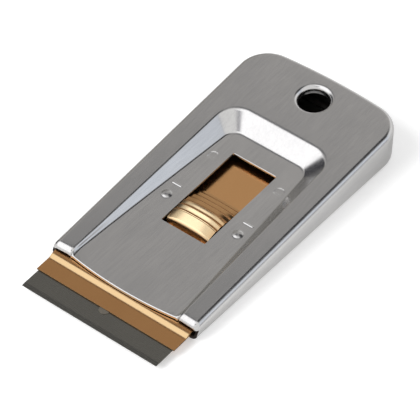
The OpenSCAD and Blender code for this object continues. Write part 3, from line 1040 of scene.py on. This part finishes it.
body_steel = brushed(
    "body_steel", colour=(0.655, 0.645, 0.635), dark=(0.575, 0.57, 0.565),
    grain=(2400, 110, 2400), rough=(0.2, 0.26), strength=0.05,
)
# The shell's cut edges: dark below the panel's top as painted shade
shaded_cut_steel = sheared("shaded_cut_steel", bright=(0.6, 0.57, 0.52), dark=(0.06, 0.05, 0.045))
# The shell's inner face: near-black painted shade
shaded_inner_steel = brushed(
    "shaded_inner_steel", colour=(0.07, 0.065, 0.06), dark=(0.05, 0.045, 0.04),
    grain=(900, 900, 900), rough=(0.5, 0.65), strength=0.2,
)
base_steel = brushed(
    "base_steel", colour=(0.55, 0.55, 0.55), dark=(0.5, 0.5, 0.5),
    grain=(6000, 300, 6000), rough=(0.28, 0.4), strength=0.25,
)
blade_steel = brushed(
    "blade_steel", colour=(0.235, 0.228, 0.203), dark=(0.21, 0.203, 0.182),
    grain=(500, 9000, 9000), rough=(0.22, 0.32), strength=0.15,
)
spine_steel = brushed(
    "spine_steel", colour=(0.36, 0.33, 0.28), dark=(0.3, 0.27, 0.23),
    grain=(3000, 3000, 3000), rough=(0.35, 0.5), strength=0.2,
)
# The jaw's brass gets a paler painted highlight where it leans forward
slide_brass = brushed(
    "slide_brass", colour=(0.68, 0.36, 0.15), dark=(0.65, 0.335, 0.135),
    grain=(6000, 400, 6000), rough=(0.24, 0.26), strength=0.01, painted_sheen=(0.58, 0.41, 0.222),
)
plate_brass = brushed(
    "plate_brass", colour=(0.84, 0.46, 0.2), dark=(0.8, 0.435, 0.185),
    grain=(6000, 400, 6000), rough=(0.19, 0.21), strength=0.004,
)
# The jaw's cut edges and inner face: dark brown painted shade
shaded_cut_brass = brushed(
    "shaded_cut_brass", colour=(0.14, 0.09, 0.05), dark=(0.1, 0.065, 0.035),
    grain=(3000, 3000, 900), rough=(0.45, 0.6), strength=0.3,
)
# The button: a paler painted highlight where it leans forward, painted shade in its grooves and on its
# front
button_brass = brushed(
    "button_brass", colour=(0.7, 0.4, 0.18), dark=(0.66, 0.37, 0.165),
    grain=(3000, 900, 3000), rough=(0.17, 0.21), strength=0.02,
    painted_sheen=(0.84, 0.66, 0.41), painted_shade=(0.36, 0.17, 0.065),
)
spring_steel = brushed(
    "spring_steel", colour=(0.45, 0.45, 0.47), dark=(0.4, 0.4, 0.42),
    grain=(6000, 400, 6000), rough=(0.25, 0.35), strength=0.2,
)
dress(shell, body_steel, shaded_cut_steel, shaded_inner_steel)
dress(nodes["base_plate"], base_steel)
dress(nodes["razor_blade"], blade_steel)
dress(nodes["blade_spine"], spine_steel)
# The brass tongue takes the spine's duller grey-brown steel as painted shade
dress(tongue, spine_steel)
dress(button, button_brass)
dress(jaw, slide_brass, shaded_cut_brass, shaded_cut_brass)
dress(nodes["carrier_plate"], plate_brass)
dress(spring, spring_steel)
for name in nodes:
    if "rivet" in name:
        dress(nodes[name], slide_brass)


# Floor, light and camera

# The floor's half width, finish and glow, and how far off metal still sees it lit, in metres
floor_reach = 3.0
floor_colour = (0.8, 0.8, 0.8)
floor_rough = 0.9
floor_glow = 0.4
floor_shine = 0.24
floor_near = 0.028
floor_far = 0.065
# The studio's parts, each laid over those before it: axis, inner and outer angle in degrees, colour
studio_white = (1.0, 1.0, 1.0)
studio_fill = (0.6, 0.6, 0.6)
studio_zones = [
    ((-0.42, 0.5, 0.75), 18, 46, (0.5, 0.49, 0.48)),
    ((-0.42, 0.22, 0.88), 8, 18, (0.2, 0.2, 0.21)),
    ((-0.8, 0.53, 0.25), 14, 28, (0.36, 0.35, 0.33)),
    ((-0.98, 0.0, 0.2), 16, 30, (0.05, 0.05, 0.06)),
    ((0.16, 0.47, 0.87), 12, 22, (0.02, 0.02, 0.025)),
    ((0.5, 0.5, 0.7), 5, 12, (0.14, 0.14, 0.15)),
    ((0.71, 0.54, 0.45), 11, 22, (0.86, 0.92, 1.02)),
    ((0.87, 0.49, 0.06), 8, 15, (0.5, 0.5, 0.53)),
    ((-0.42, -0.53, 0.74), 30, 36, (1.66, 1.66, 1.69)),
    ((0.09, -0.53, 0.84), 4, 11, (0.05, 0.05, 0.08)),
]
# The lamp that casts the soft shadow: metres and watts
lamp_place = (-0.35, -0.55, 0.6)
lamp_size = 0.5
lamp_power = 6.0
# The photograph's camera, fitted to the window, the rails and the blade: millimetres and pixels
camera_azimuth = math.radians(38.3)
camera_elevation = math.radians(46.96)
camera_distance = 653.2
focal_px = 2907.0
image_px = 420.0
origin_px = (182.9, 231.6)
sensor_w = 36.0
# What the camera takes in, in metres
clip_near = 0.01
clip_far = 20.0


def make_floor():
    """A pale table: lit where the camera or metal looks at it, darker far off where metal looks."""
    corners = [(-1, -1), (1, -1), (1, 1), (-1, 1)]
    mesh = bpy.data.meshes.new("floor")
    mesh.from_pydata([(x * floor_reach, y * floor_reach, 0) for x, y in corners], [], [(0, 1, 2, 3)])
    floor = bpy.data.objects.new("floor", mesh)
    bpy.context.scene.collection.objects.link(floor)
    made = Nodes(bpy.data.materials.new("white_floor"), "Object")
    shader = made.tree.nodes["Principled BSDF"]
    made.put(floor_colour, shader.inputs["Base Color"])
    made.put(floor_rough, shader.inputs["Roughness"])
    made.put(0.0, shader.inputs["Specular IOR Level"])
    made.put(studio_white, shader.inputs["Emission Color"])
    path = made.tree.nodes.new("ShaderNodeLightPath")
    away = made.measured("LENGTH", made.place)
    near = made.ranged(away, floor_shine, 0.0, floor_near, floor_far)
    shine = made.worked("MULTIPLY", near, path.outputs["Is Glossy Ray"])
    glow = made.worked("MULTIPLY_ADD", path.outputs["Is Camera Ray"], floor_glow, shine)
    made.put(glow, shader.inputs["Emission Strength"])
    dress(floor, made.owner)


def make_world():
    """A white studio: white where the camera looks, with grey and dark parts where metal looks."""
    made = Nodes(bpy.data.worlds.new("studio"), "Generated")
    bpy.context.scene.world = made.owner
    path = made.tree.nodes.new("ShaderNodeLightPath")
    colour = studio_white
    for axis, inner, outer, shade in studio_zones:
        toward = made.measured("DOT_PRODUCT", made.place, Vector(axis).normalized())
        start = math.cos(math.radians(outer))
        end = math.cos(math.radians(inner))
        colour = made.mixed(made.ranged(toward, 0.0, 1.0, start, end, "SMOOTHSTEP"), colour, shade)
    colour = made.mixed(path.outputs["Is Glossy Ray"], studio_fill, colour)
    colour = made.mixed(path.outputs["Is Transmission Ray"], colour, studio_white)
    colour = made.mixed(path.outputs["Is Camera Ray"], colour, studio_white)
    made.put(colour, made.tree.nodes["Background"].inputs["Color"])


def make_lamp(name):
    """A square lamp aimed at the part, which metal doesn't mirror."""
    light = bpy.data.lights.new(name, "AREA")
    light.shape = "SQUARE"
    light.size = lamp_size
    light.energy = lamp_power
    lamp = bpy.data.objects.new(name, light)
    bpy.context.scene.collection.objects.link(lamp)
    lamp.location = lamp_place
    lamp.visible_glossy = False
    lamp.rotation_euler = (-Vector(lamp_place)).to_track_quat("-Z", "Y").to_euler()


def make_camera():
    """The photograph's camera, with the window's front edge off the picture's middle as it is there."""
    right = Vector((math.cos(camera_azimuth), math.sin(camera_azimuth), 0))
    level = Vector((right.y, -right.x, 0)) * math.cos(camera_elevation)
    back = level + Vector((0, 0, math.sin(camera_elevation)))
    up = back.cross(right)
    off_x = (image_px / 2 - origin_px[0]) / focal_px
    off_y = (origin_px[1] - image_px / 2) / focal_px
    aim = right * off_x + up * off_y - back
    turn = (row_frame @ slide_frame).to_3x3().normalized()
    data = bpy.data.cameras.new("camera")
    data.sensor_width = sensor_w
    data.lens = focal_px / image_px * sensor_w
    data.clip_start = clip_near
    data.clip_end = clip_far
    camera = bpy.data.objects.new("camera", data)
    bpy.context.scene.collection.objects.link(camera)
    camera.location = row_frame @ slide_frame @ (back * camera_distance)
    look = (turn @ aim).normalized()
    side = (turn @ right).normalized()
    side = (side - look * side.dot(look)).normalized()
    camera.rotation_euler = Matrix((side, side.cross(look), -look)).transposed().to_euler()
    bpy.context.scene.camera = camera


make_floor()
make_world()
make_lamp("key_softbox")
make_camera()
bpy.context.scene.view_settings.view_transform = "Standard"
